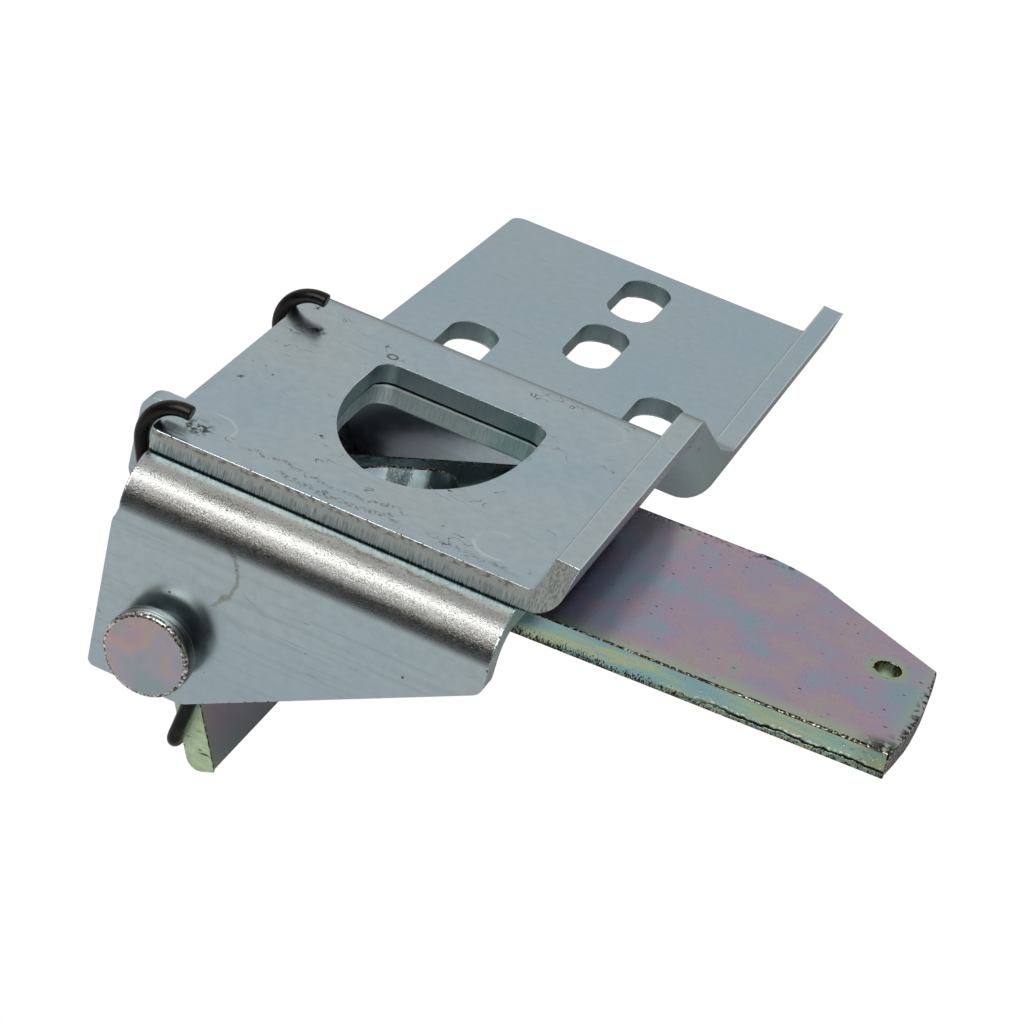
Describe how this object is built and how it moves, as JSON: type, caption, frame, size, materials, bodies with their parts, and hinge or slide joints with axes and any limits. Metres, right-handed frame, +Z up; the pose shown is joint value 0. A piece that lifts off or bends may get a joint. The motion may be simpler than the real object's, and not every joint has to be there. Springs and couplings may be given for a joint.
{
  "type": "hood latch",
  "caption": "Hood latch: a folded plate with a D-shaped striker opening and slotted holes, over a bracket with a sprung release lever on a pin.",
  "frame": {"origin": "top face of the plate's pad, in the striker opening, on its centre line and midway between the two cheeks", "axes": "+Z up out of the pad, +X towards the lever's handle, +Y towards the bolted rear end"},
  "size_m": [0.1522, 0.1764, 0.0699],
  "materials": {
    "blue_zinc": "satin",
    "yellow_zinc": "satin",
    "black_wire": "satin"
  },
  "bodies": {
    "frame": {"mounting_plate": "blue_zinc", "saddle_bracket": "blue_zinc", "pivot_pin": "yellow_zinc", "pin_washer": "blue_zinc", "split_pin": "blue_zinc", "torsion_spring": "black_wire"},
    "lever": {"release_lever": "yellow_zinc"}
  },
  "joints": [
    {"name": "lever_pivot", "type": "hinge", "parent": "frame", "child": "lever", "pos_m": [-0.02285, 0, -0.03165], "axis": [0, 1, 0], "range_deg": [0, 25], "stiffness_Nm_per_rad": 0.9, "springref_deg": -34.38, "deforming": ["torsion_spring"]}
  ]
}
